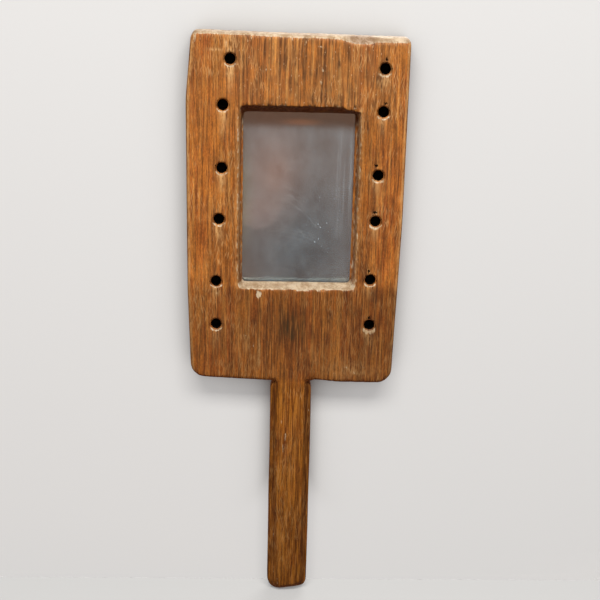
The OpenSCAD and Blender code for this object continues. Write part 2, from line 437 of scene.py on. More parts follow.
def panel_material():
    """The thin back panel: dry, brown, unpolished softwood with broad soft grain."""
    s = Shader("panel_wood")
    dark = s.mask("dark")
    rings = s.noise((4.5, 9, 120), 3, 0.55, shift=31, sway=0.4)
    fine = s.noise((0.9, 1.2, 30), 3, 0.6, shift=33)
    blotch = s.noise((26, 30, 34), 3, 0.6, shift=35)
    colour = s.mix(s.ramp(rings, 0.38, 0.62), srgb(118, 78, 44), srgb(164, 118, 72))
    colour = s.mix(1.0, colour, s.grey(s.ramp(fine, 0.3, 0.7, 0.72, 1.2)), "MULTIPLY")
    stain = s.mix(1.0, colour, srgb(186, 172, 158), "MULTIPLY")
    colour = s.mix(s.ramp(blotch, 0.4, 0.7), colour, stain)
    colour = s.mix(dark, colour, srgb(44, 30, 20))
    s.bump(s.plus(s.times(rings, 0.5), s.times(fine, 0.6)), 0.25)
    s.set(Base_Color=colour, Roughness=s.ramp(fine, 0.3, 0.7, 0.82, 0.68), Specular_IOR_Level=0.25)
    return s.material


def iron_material():
    """Small iron brads: black scale with rust on the high places."""
    s = Shader("rusty_iron")
    rust = s.ramp(s.noise((0.7, 0.7, 0.7), 3, 0.65, shift=41), 0.42, 0.6)
    grit = s.noise((0.25, 0.25, 0.25), 2, 0.6, shift=43)
    colour = s.mix(rust, srgb(62, 56, 52), s.mix(grit, srgb(92, 46, 24), srgb(142, 80, 44)))
    s.bump(grit, 0.12)
    s.set(Base_Color=colour, Metallic=s.ramp(rust, 0, 1, 0.85, 0.05),
          Roughness=s.ramp(rust, 0, 1, 0.45, 0.85))
    return s.material


def card_material():
    """Brown packing card, foxed, with short fibres in it."""
    s = Shader("brown_card")
    fibres = s.noise((0.5, 0.5, 3), 3, 0.7, shift=51)
    foxing = s.ramp(s.noise((9, 9, 11), 3, 0.6, shift=53), 0.52, 0.7)
    colour = s.mix(s.ramp(fibres, 0.3, 0.7), srgb(140, 118, 86), srgb(172, 150, 114))
    colour = s.mix(s.times(foxing, 0.6), colour, srgb(112, 78, 46))
    s.bump(fibres, 0.1)
    s.set(Base_Color=colour, Roughness=0.9, Specular_IOR_Level=0.2)
    return s.material


# Marks in the mirror, each as its place and its half width and half height
# Painted reflection in the silvering: a curved light patch, a light upper patch, a darker part and a
# warm streak
LIGHT_REFLECTION, UPPER_REFLECTION = ((-23.8, -2.2), (17, 19)), ((-11.8, 10.8), (14, 28))
DARK_REFLECTION, WARM_REFLECTION = ((3.2, -29.2), (52, 60)), ((1.2, 45.3), (17, 3.2))
THICK_HAZE, WARM_HAZE = ((-19.8, 14.8), (30, 50)), ((-15.8, 12.8), (30, 50))
GREEN_HAZE = ((-34.8, 0.8), (11, 60))
SCRATCHED, SPECKLED = ((1.2, -7.2), (36, 60)), ((14.2, -14.2), (18, 34))
# Heights from the window's middle: where the painted reflection starts to fade upwards and where it is
# gone, and where the haze starts to thin out downwards and where it is thinnest
REFLECTION_FULL_Z, REFLECTION_GONE_Z = -14.2, 10.8
HAZE_FULL_Z, HAZE_THIN_Z = -7.2, -42.2
# How far right of the middle the upright streaks begin, and where they are full
STREAKS_FROM_X, STREAKS_FULL_X = 16.2, 25.2
# Middles of the arcs of two sets of hair scratches, and of a fainter set
ARCS_RIGHT, ARCS_LOW, ARCS_FAINT = (-35.8, -52.2), (-15.8, -81.2), (-61.8, 32.8)


def curved_reflection(s):
    """A patch of painted reflection behind the glass: it ends in a curved lower edge and fades upwards.
    """
    fading = s.ramp(s.axis("Z"), MID_Z + REFLECTION_GONE_Z, MID_Z + REFLECTION_FULL_Z)
    return s.times(s.spot(*LIGHT_REFLECTION, 0.22), fading)


def silver_material():
    """Old silvering, with painted reflection in its colour: warm and light at the upper left, dull,
    darker and bluish towards the lower right, and a warm streak near the top.
    """
    s = Shader("old_silvering")
    cloud = s.noise((17, 17, 24), 2, 0.5, shift=61)
    reflection = s.maths("MAXIMUM", s.times(s.spot(*UPPER_REFLECTION, 0.95), 0.5), curved_reflection(s))
    reflection = s.plus(reflection, s.times(s.plus(cloud, -0.5), 0.5))
    colour = s.mix(s.ramp(reflection, 0.0, 1.1), srgb(190, 190, 190), srgb(230, 216, 208))
    colour = s.mix(s.times(s.spot(*DARK_REFLECTION), 0.85), colour, srgb(88, 120, 148))
    colour = s.mix(s.times(s.spot(*WARM_REFLECTION), 0.8), colour, srgb(255, 226, 200))
    s.set(Base_Color=colour, Metallic=1.0, Roughness=s.ramp(cloud, 0.35, 0.65, 0.08, 0.16))
    return s.material


def glass_material():
    """Clear old glass. Its front carries a grey haze, wiped in arcs and finely scratched."""
    s = Shader("hazy_glass")
    front = s.ramp(s.axis("Y"), GLASS_LO[1] + 0.4, GLASS_LO[1] + 0.1)

    # Clouded and wiped all over, a touch thinner low down and thicker at the upper left
    cloud = s.noise((11, 11, 15), 3, 0.55, shift=71)
    wipe = s.noise((2.2, 2.2, 9), 2, 0.6, shift=73, sway=1.5)
    low = s.ramp(s.axis("Z"), MID_Z + HAZE_FULL_Z, MID_Z + HAZE_THIN_Z)
    amount = s.plus(0.09, s.times(s.plus(cloud, -0.5), 0.12))
    amount = s.plus(amount, s.times(low, -0.012))
    amount = s.plus(amount, s.times(s.plus(wipe, -0.5), 0.06))
    amount = s.plus(amount, s.times(s.spot(*THICK_HAZE, 0.9), 0.024))
    # The haze is also thicker in the patch of painted reflection
    amount = s.plus(amount, s.times(curved_reflection(s), 0.026))

    # Fine upright streaks down the right third
    streak = s.ramp(s.noise((0.6, 1, 60), 1, shift=75), 0.48, 0.72)
    right = s.ramp(s.axis("X"), MID_X + STREAKS_FROM_X, MID_X + STREAKS_FULL_X)
    amount = s.plus(amount, s.times(s.times(streak, right), 0.09))

    # Curved hair scratches and dust, thickest in the middle, and a few specks
    middle = s.spot(*SCRATCHED)
    broken = s.ramp(s.noise((12, 12, 12), 1, shift=77), 0.3, 0.6)
    hairs = s.maths("MAXIMUM", s.arcs(ARCS_RIGHT, 79), s.arcs(ARCS_LOW, 83))
    hairs = s.maths("MAXIMUM", hairs, s.times(s.arcs(ARCS_FAINT, 85), 0.5))
    amount = s.plus(amount, s.times(s.times(hairs, s.times(broken, middle)), 0.13))
    dust = s.ramp(s.noise((0.5, 0.5, 0.5), 0, shift=87), 0.64, 0.8)
    amount = s.plus(amount, s.times(s.times(dust, middle), 0.07))
    specks = s.ramp(s.noise((0.8, 0.8, 0.8), 0, shift=81), 0.80, 0.86)
    near = s.plus(s.spot(*SPECKLED), 0.12)
    amount = s.plus(amount, s.times(s.times(specks, near), 0.5))

    # Painted shadow: the haze thins out under the upper lip, where the lip's shadow falls on it
    lip_shadow = s.ramp(s.axis("Z"), SIGHT_TOP - 5, SIGHT_TOP - 10, 0.25, 1.0)
    haze = s.mix(s.spot(*WARM_HAZE), srgb(226, 246, 255), srgb(250, 244, 240))
    haze = s.mix(s.times(s.spot(*GREEN_HAZE), 0.8), haze, srgb(226, 246, 226))
    share = s.times(s.times(s.maths("MAXIMUM", amount, 0.0), lip_shadow), front)
    clear = s.maths("SUBTRACT", 1.0, share)
    s.set(Base_Color=s.mix(front, WHITE, haze), Roughness=0.0, IOR=1.5, Transmission_Weight=clear)
    return s.material


# ------------------------ the oak paddle

BOARD_VOXEL = 0.66
# What the mesh tells the oak: where it is bare or painted light, how grey that is, dirt, oil and painted
# shade, painted shade in and round the holes, weathered grain, handling polish, soft rubbed streaks, and
# the smudge
OAK_MASKS = ("pale", "aged", "dark", "painted_shade", "weather", "polish", "rubbed", "grime")
# How far the top edge is worn down at the left, and how much further at the right
TOP_WORN, TOP_FALL = 1.3, 2
# The front slope of the worn top edge, as depth over height, and the length of its normal
TOP_SLOPE, TOP_SLOPE_NORMAL = 0.6, 1.17
# The length of the normal of a 45 degree slope
EVEN_SLOPE_NORMAL = 1.41
# How deep the short grain has crumbled out of the window's lips
LIP_CRUMBLE = 1.2
# The ends of the scoop worn into the top edge
SCOOP_LEFT, SCOOP_RIGHT = 25, 45
# The worn loop: how far its middle is above its hole, and its half width and half height
LOOP_RISE, LOOP_HALF_W, LOOP_HALF_H = 8.3, 2.3, 3.2

# Marks on the front face, each as its place, its size and its strength
SMUDGE = (((-2.3, -79.2), (6.5, 7.5), 1.4), ((-7.8, -70.7), (11, 9), 0.45))
BARE_CORNERS = (((-60.8, 93.8), (6, 6), 1), ((60.2, 91.8), (4, 7), 1),
                ((-41.3, 89.3), (2.4, 3.6), 1), ((44.7, -81.7), (2.6, 2.2), 1))
SCUFFS = (((32.2, -99.2), (24, 12), 1), ((-29.8, -89.2), (12, 18), 0.8))
RUBBED_EDGE = (((34.2, -104.7), (12, 5), 1.3),)
# The small chip below the window, with its half width and half height, and an upright scar
CHIP_X, CHIP_Z, CHIP_HALF_W, CHIP_HALF_H, CHIP_LEAN = MID_X - 22.3, MID_Z - 56.7, 1.9, 3.1, 0.2
SCAR_X, SCAR_W, SCAR_LOW, SCAR_HIGH = MID_X - 21.8, 0.8, MID_Z - 105.2, MID_Z - 81.2


class Surface:
    """The points of a mesh in millimetres, masks painted on them, and how far each moves outwards."""

    def __init__(self, mesh, masks):
        self.mesh = mesh
        self.points, self.normals = mesh_points(mesh)
        self.x, self.y, self.z = self.points
        self.nx, self.ny, self.nz = self.normals
        self.masks = {name: np.zeros_like(self.x) for name in masks}
        self.outwards = np.zeros_like(self.x)
        self.front = ramp(-self.ny, 0.5, 0.9)

    def noise(self, scale, seed):
        """Smooth random values from -1 to 1 at the points."""
        return smooth_noise(self.x, self.y, self.z, scale, seed)

    def paint(self, name, amount):
        """Raises a mask to the given amount wherever it is lower."""
        self.masks[name] = np.maximum(self.masks[name], amount)

    def keep(self):
        """Moves the points, stores the masks and turns the mesh into metres."""
        moved = (self.points + self.normals * self.outwards) * MM
        self.mesh.vertices.foreach_set("co", moved.T.astype(np.float32).ravel())
        self.mesh.update()
        for name, values in self.masks.items():
            attribute = self.mesh.attributes.new(name, "FLOAT", "POINT")
            attribute.data.foreach_set("value", np.clip(values, 0, 1).astype(np.float32))


def grain(x, y, z):
    """The oak's grain, from -1 in an open pore line to 1 on a hard ridge, along the board's length."""
    sway = 2.5 * smooth_noise(x, y, z, (60, 40, 90), 11)
    coarse = smooth_noise(x + sway, y, z, (2.4, 3.5, 80), 12)
    fine = smooth_noise(x + sway, y, z, (1.25, 2.0, 30), 13)
    return np.clip(0.7 * coarse + 0.8 * fine, -1, 1)


def worn_top(field, x, y, z):
    """Wears the top edge down, with a front slope that is scalloped and deepest to the right."""
    flat = np.zeros_like(x)
    wave = smooth_noise(x, flat, flat, (17, 1, 1), 21) + 0.5 * smooth_noise(x, flat, flat, (5, 1, 1), 22)
    crest = TOP_Z - TOP_WORN - TOP_FALL * (x - BOARD_LO[0]) / (BOARD_HI[0] - BOARD_LO[0]) + 0.25 * wave
    scoop = ramp(x, SCOOP_LEFT, SCOOP_LEFT + 7) * ramp(x, SCOOP_RIGHT, SCOOP_RIGHT - 5)
    drop = 0.6 + 0.5 * ramp(x, -34, -20) + 0.25 * wave + 1.3 * scoop + 1.3 * ramp(x, 18, 30)
    front_slope = ((z - crest) + TOP_SLOPE * (FRONT_Y - y) + drop) / TOP_SLOPE_NORMAL
    back_slope = ((z - crest) + (y - BACK_Y) + 1.8 + 0.5 * wave) / EVEN_SLOPE_NORMAL
    return np.maximum(np.maximum(field, z - crest), np.maximum(front_slope, back_slope))


def worn_foot(field, x, y, z):
    """Rubs the lower end of the handle round, and pares the head's edge beside its right shoulder."""
    end = FOOT_Z + FOOT_SLOPE * x - z
    front = (end + (FRONT_Y - y) + FOOT_RUB) / EVEN_SLOPE_NORMAL
    back = (end + (y - BACK_Y) + FOOT_RUB) / EVEN_SLOPE_NORMAL
    notch = np.minimum(x - HANDLE_HALF_W - 0.3, HANDLE_LEN - 1.1 - 0.11 * (x - HANDLE_HALF_W) - z)
    return np.maximum(np.maximum(field, notch), np.maximum(front, back))


def ragged_lips(field, x, y, z):
    """Breaks out the window's upper and lower lips, where short grain has crumbled away."""
    flat = np.zeros_like(x)
    depth = (y - FRONT_Y) / SIGHT_DEPTH
    near_front = ramp(depth, 0.8, 0.0)
    across = ramp(np.minimum(x - LIP_LEFT, LIP_RIGHT - x), 1.5, 5)
    splinters = smooth_noise(x, y, flat, (1.6, 5, 1), 31) + 0.4 * smooth_noise(x, y, flat, (7, 6, 1), 32)
    droop = LIP_DROOP * ramp(x, LIP_RIGHT - DROOP_LEN, LIP_RIGHT - 2) * (1 - depth)
    brow = LIP_TOP - BEVEL_TOP * depth - droop

    # Wood is left standing where the upper lip hangs lower
    past_height = np.maximum(brow - z, z - LIP_TOP - 1)
    past_depth = np.maximum(FRONT_Y - y, y - GLASS_LO[1])
    past_width = np.maximum(LIP_RIGHT - (DROOP_LEN + 3) - x, x - LIP_RIGHT - 1)
    field = np.minimum(field, np.maximum(past_height, np.maximum(past_depth, past_width)))

    upper = brow + near_front * across * LIP_CRUMBLE * np.maximum(0, splinters)
    crumbs = smooth_noise(x, y, flat, (2.6, 3, 1), 33) + 0.7 * smooth_noise(x, y, flat, (9, 5, 1), 34)
    lower = (LIP_FOOT + BEVEL_FOOT * depth
             - near_front * across * LIP_CRUMBLE * np.maximum(0, crumbs + 0.1))
    cut = np.where(z > MID_Z, upper - z, z - lower)
    in_front = (y < GLASS_LO[1] - 1) & (across > 0.02)
    return np.where(in_front, np.maximum(field, cut), field)


def lace_streak(s, k, hx, hz, length):
    """A streak that the lace has rubbed below hole k, and the weathered wood round the hole."""
    path = s.x - hx - 0.8 * smooth_noise(s.z, s.z, s.z, (9, 9, 9), 60 + k)
    rubbed = np.exp(-(path / 2.1) ** 2) * ramp(s.z, hz - length, hz - 6) * ramp(s.z, hz, hz - 5)
    rubbing = 1.0 if k == PATCH_HOLE or (hx < 0 and hz > SIGHT_FOOT) else 0.6
    s.paint("rubbed", rubbing * rubbed * s.front * (0.8 + 0.4 * s.noise((1.6, 3, 5), 70 + k)))
    worked = np.exp(-(path / 5) ** 2) * ramp(s.z, hz - 30, hz - 8) * ramp(s.z, hz + 18, hz + 4)
    s.paint("weather", 0.75 * worked * s.front * (0.75 + 0.5 * s.noise((3, 3, 12), 72)))


def worn_loop(s, hx, hz):
    """A loop rubbed into the wood above a hole, darker inside, with a short dash to its left."""
    ring = np.hypot((s.x - hx) / LOOP_HALF_W, (s.z - hz - LOOP_RISE) / LOOP_HALF_H) - 1
    broken = 0.9 + 0.4 * s.noise((1.6, 2, 2.6), 69) - 0.3 * ramp(s.z, hz + 8, hz + 11)
    s.paint("rubbed", broken * np.exp(-(ring / 0.6) ** 2) * s.front)
    s.paint("pale", 0.5 * broken * np.exp(-(ring / 0.25) ** 2) * s.front)
    s.paint("dark", 0.5 * ramp(ring, -0.4, -0.8) * s.front)
    s.paint("rubbed", 1.2 * blob(s.x, s.z, (hx - 8, hz + 5), (3.5, 0.8)) * s.front)


def lace_hole_wear_and_shade(s):
    """What the lace and the years did to the holes, and the shade painted in and round them. Each has
    its own draws, in a fixed order.
    """
    draws = np.random.default_rng(5)
    for k, (hx, hz) in enumerate(LACE_HOLES):
        # A bare crescent below the hole, larger on the right
        reach = np.hypot(s.x - hx, s.z - hz)
        angle = np.arctan2(s.x - hx, hz - s.z)
        ragged = 0.8 * smooth_noise(angle * 3 + 40 * k, reach, np.zeros_like(reach), (1, 1.5, 1), 51)
        size = draws.uniform(0.7, 1.5) + 0.6 * (hx > 0) + 1.0 * (k == PATCH_HOLE)
        crescent = ramp(reach, LACE_R + size + 0.7, LACE_R + 0.4 * size + ragged)
        crescent = crescent * ramp(np.cos(angle), 0.15, 0.75) * s.front
        s.paint("pale", crescent * draws.uniform(0.8, 1.0))
        s.outwards -= 0.3 * crescent

        # Painted shade inside it and round its rim
        s.paint("dark", 0.45 * ramp(reach, LACE_R + 1.4, LACE_R + 0.2) * s.front)
        inside = ramp(reach, LACE_R + 0.7, LACE_R + 0.3)
        s.paint("painted_shade", inside * ramp(s.y, FRONT_Y + 0.7, FRONT_Y + 1.8))
        s.paint("painted_shade", 0.74 * ramp(reach, LACE_R + 1.8, LACE_R - 0.1) * s.front * (1 - 0.6 * crescent))

        lace_streak(s, k, hx, hz, draws.uniform(11, 24))
        if k == LOOP_HOLE:
            worn_loop(s, hx, hz)

        # A dented nick above each hole on the right, with painted shade in it
        nick_x, nick_z = draws.uniform(-1.5, 1), draws.uniform(1.2, 2.8)
        if hx > 0:
            nick = blob(s.x, s.z, (hx + nick_x, hz + LACE_R + nick_z), (1.6, 1.1)) * s.front
            s.paint("painted_shade", 0.9 * nick)
            s.outwards -= 0.6 * nick


def handling_marks_and_shade(s, head):
    """Darker below the window and down the handle, with one round smudge of dirt, and painted shade on
    the sides of the handle and the head.
    """
    below = ramp(s.z, LIP_FOOT + 6, LIP_FOOT - 4) * head
    toning = 0.35 + 0.14 * ramp(np.abs(s.x), 60, 24) + 0.21 * ramp(s.x, 25, 50)
    smudge = np.clip(blobs(s.x, s.z, SMUDGE), 0, 1)
    smudge = smudge * (0.85 + 0.35 * s.noise((1.5, 3, 3.2), 81)) * s.front
    s.paint("grime", below * smudge)
    s.paint("dark", below * toning)

    # The handle: darker towards its foot, painted shade on its sides and chamfers, the right-hand ones
    # darker, and short scratches in front
    handle = 1 - head
    s.paint("dark", handle * (0.32 + 0.28 * ramp(s.z, 140, 10)))
    s.paint("dark", handle * 0.7 * ramp(np.abs(s.nx), 0.7, 0.97))
    s.paint("dark", handle * np.where(s.nx > 0, 0.72, 0.6) * ramp(np.abs(s.nx), 0.12, 0.45))
    scratches = ramp(s.noise((0.9, 1.5, 8), 86), 0.5, 0.85)
    s.paint("pale", handle * 0.55 * scratches * ramp(-s.ny, 0.3, 0.6))
    # Painted shade on the head's sides
    s.paint("dark", 0.25 * ramp(np.abs(s.nx), 0.6, 0.95) * head)


def window_wear_and_painted_light(s, crumble, arris):
    """Grime and painted shade under the upper lip, bare wood painted lighter on the lower one, painted
    shade and light on the side walls, and crumbling lips all round.
    """
    within = (s.x > LIP_LEFT - 1) & (s.x < LIP_RIGHT + 1) & (s.z > LIP_FOOT - 2) & (s.z < LIP_TOP + 3)
    wall = within & (s.ny > -0.75) & (s.y < GLASS_LO[1] + 0.2)
    ceiling, side, sill = wall & (s.nz < -0.4), wall & (np.abs(s.nx) > 0.5), wall & (s.nz > 0.35)
    deep = ramp(s.y, FRONT_Y + 6, GLASS_LO[1])
    grit = s.noise((0.9, 0.9, 1.1), 90)
    # Painted shade, with some grime, on the upper wall, which faces down
    s.paint("dark", 0.64 * ceiling)
    # Painted shade on the side walls, deepening towards the glass, and greyish pale wood, painted
    # lighter on the right wall than the left as the light falls
    s.paint("dark", side * (0.05 + 0.3 * deep - 0.3 * grit))
    s.paint("pale", side * (0.32 + 0.22 * grit - 0.14 * np.sign(s.nx)))
    # The sill: bare wood, painted paler where it faces up to the light
    s.paint("pale", 1.0 * sill)
    s.paint("aged", 0.5 * sill)

    # Darker wood on both sides of the window, and the rubbed, gritty edges of its upright lips
    beside = (1.2 * ramp(LIP_LEFT - s.x, 13, 4) * (s.x < LIP_LEFT)
              + 1.9 * ramp(s.x - LIP_RIGHT, 15, 5) * (s.x > LIP_RIGHT))
    alongside = ramp(s.z, LIP_FOOT - 6, LIP_FOOT + 8) * ramp(s.z, LIP_TOP + 8, LIP_TOP - 6)
    s.paint("dark", 0.16 * beside * s.front * alongside)
    edge = np.minimum(np.abs(s.x - LIP_LEFT), np.abs(s.x - LIP_RIGHT))
    upright = ramp(edge, 2.4, 0.6)
    upright = upright * ramp(s.z, LIP_FOOT - 2, LIP_FOOT + 1) * ramp(s.z, LIP_TOP + 2, LIP_TOP - 1)
    s.paint("rubbed", upright * (0.4 + 0.5 * grit) * (s.y < FRONT_Y + 6))
    s.paint("dark", upright * ramp(-grit, 0.1, 0.7) * 0.45 * (s.y < FRONT_Y + 6))

    # Bare wood that spills over the lower lip, and a dark broken fringe of painted shade on the upper
    # one
    level = ramp(s.x, LIP_LEFT - 1, LIP_LEFT + 2) * ramp(s.x, LIP_RIGHT + 1, LIP_RIGHT - 2)
    spill = ramp(s.z, LIP_FOOT - 3.4, LIP_FOOT - 0.4) * (s.z < LIP_FOOT + 1) * level
    s.paint("pale", spill * s.front * (0.25 + 0.7 * s.noise((1.4, 2, 1.2), 92)))
    s.paint("pale", 0.4 * arris * within * (1 + crumble))
    fringe = ramp(s.z, LIP_TOP + 2.6, LIP_TOP + 0.5) * (s.z > LIP_TOP - 1) * level
    s.paint("dark", fringe * s.front * ramp(s.noise((1.1, 2, 1.8), 87), 0.1, 0.6))
    s.paint("pale", fringe * s.front * (0.15 + 0.6 * s.noise((1.2, 2, 1.6), 93)))
    s.outwards -= 0.3 * upright * np.maximum(0, grit)


def bare_wood_and_top_light(s, head, crumble, arris):
    """Paint of bare wood on the top edge, the long arrises, the corners and odd chips; the top edge is
    also painted lighter where it faces up to the light.
    """
    # The top edge: bare, painted lighter where it faces up to the light, and greyer in its scoop
    top_wear_and_light = ramp(s.nz, 0.3, 0.6) * (s.z > TOP_Z - 12)
    dirt = 0.3 * smooth_noise(s.x, s.y, s.z, (4, 3, 4), 94)
    s.paint("pale", top_wear_and_light * (0.9 + 0.5 * dirt))
    scoop = ramp(s.x, SCOOP_LEFT + 1, SCOOP_LEFT + 7) * ramp(s.x, SCOOP_RIGHT + 1, SCOOP_RIGHT - 4)
    scoop = scoop * ramp(s.z, TOP_Z - 1.5, TOP_Z - 4)
    s.paint("aged", top_wear_and_light * (0.45 + dirt + 0.6 * scoop))

    # The head's long arrises and its corners
    outline = arris * ramp(np.abs(s.x), 56, 59) * head * ramp(-s.ny, 0.1, 0.4)
    s.paint("rubbed", outline * (0.6 + 0.3 * s.noise((1, 1, 6), 89)))
    corners = blobs(s.x, s.z, BARE_CORNERS)
    s.paint("pale", corners * s.front * (0.4 + 0.4 * s.noise((1, 2, 6), 96)))

    # Short dashes and scuffs along the grain, and the rubbed lower edge
    dashes = ramp(s.noise((0.9, 1.5, 3.4), 88), 0.6, 0.85)
    scuffed = blobs(s.x, s.z, SCUFFS)
    s.paint("pale", 0.8 * dashes * np.maximum(s.masks["weather"], scuffed) * s.front)
    s.paint("rubbed", 0.35 * scuffed * s.front * ramp(s.noise((1.2, 2, 9), 84), 0.1, 0.6))
    low_edge = blobs(s.x, s.z, RUBBED_EDGE) * s.front
    s.paint("rubbed", low_edge * (0.5 + 0.5 * crumble))
    s.paint("pale", low_edge * ramp(crumble, 0.3, 0.6) * 0.7)

    # The chip and the scar
    chip_x, chip_z = s.x - CHIP_X - CHIP_LEAN * (s.z - CHIP_Z), s.z - CHIP_Z
    off_chip = np.maximum(np.abs(chip_x) / CHIP_HALF_W, np.abs(chip_z) / CHIP_HALF_H)
    chip = ramp(1 - off_chip + 0.3 * s.noise((0.9, 2, 1.6), 85), 0, 0.5) * s.front
    s.paint("pale", 0.85 * chip)
    s.outwards -= 0.4 * chip
    scar = np.exp(-((s.x - SCAR_X) / SCAR_W) ** 2)
    scar = scar * ramp(s.z, SCAR_LOW, SCAR_LOW + 6) * ramp(s.z, SCAR_HIGH, SCAR_HIGH - 8)
    s.paint("rubbed", 0.9 * scar * s.front)


def board_mesh():
    """The paddle's mesh: the CAD solid with worn edges, crumbled lips and weathered grain."""
    field, x, y, z = cad_field("board", BOARD_VOXEL, 6.0)
    field = ragged_lips(worn_foot(worn_top(field, x, y, z), x, y, z), x, y, z)
    crisp, soft = softened(field, 1), softened(field, 5)
    near_window = (ramp(x, LIP_LEFT - 6, LIP_LEFT - 3) * ramp(x, LIP_RIGHT + 6, LIP_RIGHT + 3)
                   * ramp(z, LIP_FOOT - 6, LIP_FOOT - 3) * ramp(z, LIP_TOP + 6, LIP_TOP + 3))
    near_holes = np.zeros_like(near_window)
    for hx, hz in LACE_HOLES:
        near_holes = np.maximum(near_holes, ramp(np.hypot(x - hx, z - hz), LACE_R + 4, LACE_R + 2))
    field = soft + (crisp - soft) * np.maximum(near_window, near_holes)
    s = Surface(field_mesh("oak_board", field, x, y, z), OAK_MASKS)
    head = np.maximum(ramp(s.z, HANDLE_LEN - 8, HANDLE_LEN + 3),
                      ramp(np.abs(s.x), HANDLE_HALF_W + 0.5, HANDLE_HALF_W + 2))
    crumble = s.noise((1.3, 1.3, 1.6), 91)
    arris = ramp(np.abs(s.nx * s.ny), 0.12, 0.42)

    # How weathered the grain is: most above the window and towards the right
    above = ramp(s.z, LIP_TOP - 2, LIP_TOP + 4) * ramp(s.x, -46, -26) * ramp(s.x, 62, 46)
    below = ramp(s.z, LIP_FOOT + 2, LIP_FOOT - 6)
    patch = s.noise((18, 30, 26), 41)
    s.paint("weather", (0.12 + 0.75 * above + 0.05 * below + 0.18 * patch) * head)
    s.paint("polish", 1 - head)
    ridge = grain(s.x, s.y, s.z)
    s.outwards += (0.06 + 0.22 * s.masks["weather"]) * ridge - 0.05

    lace_hole_wear_and_shade(s)
    handling_marks_and_shade(s, head)
    window_wear_and_painted_light(s, crumble, arris)
    bare_wood_and_top_light(s, head, crumble, arris)

    # A whittled handle: broad shallow facets
    whittle = 0.3 * s.noise((9, 7, 24), 95) * ramp(s.z, 0, 6) - 0.15
    crown = 1.3 * ramp(np.abs(s.x), 4, 12.5) * ramp(np.abs(s.ny), 0.3, 0.8)
    s.outwards += (1 - head) * (whittle - crown) - 0.22 * np.maximum(0, crumble) * arris
    s.keep()
    return s.mesh


# ------------------------ the mirror and what holds it

PANEL_VOXEL = 0.6
GLASS_GAP = 0.02
GROUND_EDGE = 0.25
# A brad's shank and head, the length of its point, and the flats it is turned with
BRAD_D, BRAD_HEAD_D, BRAD_HEAD_T, BRAD_TAPER, BRAD_SIDES = 1.2, 2.2, 0.5, 1.6, 20
# How far it is driven in below its place in the CAD model
BRAD_SUNK = 0.05


def glass_mesh():
    """The pane, a hair clear of the silvering behind it, with its long edges ground."""
    bm = bmesh.new()
    bmesh.ops.create_cube(bm, size=1.0)
    low = Vector((GLASS_LO[0], GLASS_LO[1] + GLASS_GAP, GLASS_LO[2])) * MM
    high = Vector((GLASS_HI[0], GLASS_HI[1] - GLASS_GAP, GLASS_HI[2])) * MM
    for v in bm.verts:
        v.co = Vector([low[k] + (high[k] - low[k]) * (v.co[k] + 0.5) for k in range(3)])
    bmesh.ops.bevel(bm, geom=bm.edges[:], offset=GROUND_EDGE * MM, segments=2, affect="EDGES")
    mesh = bpy.data.meshes.new("hazy_pane")
    bm.to_mesh(mesh)
    bm.free()
    return mesh


def panel_mesh():
    """The thin back panel: split from dry wood, its face a little hollow and its edges bruised."""
    field, x, y, z = cad_field("back_panel", PANEL_VOXEL, 3.0)
    s = Surface(field_mesh("thin_panel", softened(field, 1), x, y, z), ("dark",))
    back = ramp(s.ny, 0.5, 0.9)
    rings = s.noise((4.5, 5, 120), 97)
    dents = np.maximum(0, s.noise((3, 4, 3), 98) - 0.72)
    s.outwards += back * (0.06 * rings - 0.5 * dents - 0.08)
    edge = np.minimum(np.minimum(s.x - PANEL_LO[0], PANEL_HI[0] - s.x),
                      np.minimum(s.z - PANEL_LO[2], PANEL_HI[2] - s.z))
    s.paint("dark", 0.55 * ramp(edge + 0.8 * s.noise((2, 2, 5), 99), 1.6, 0.2))
    for bx, bz in BRADS:
        s.paint("dark", 0.8 * ramp(np.hypot(s.x - bx, s.z - bz), BRAD_HEAD_D + 0.8, BRAD_HEAD_D / 2))
    s.keep()
    return s.mesh


def brad_places():
    """The brads' places (x, z): the middle of each loose part of their CAD mesh."""
    bm = bmesh.new()
    bm.from_mesh(frame["nodes"]["panel_brads"].data)
    places, seen = [], set()
    for start in bm.verts:
        if start in seen:
            continue
        group, queue = [], [start]
        seen.add(start)
        while queue:
            vertex = queue.pop()
            group.append(vertex.co / MM)
            for edge in vertex.link_edges:
                other = edge.other_vert(vertex)
                if other not in seen:
                    seen.add(other)
                    queue.append(other)
        places.append((sum(v.x for v in group) / len(group), sum(v.z for v in group) / len(group)))
    bm.free()
    return places


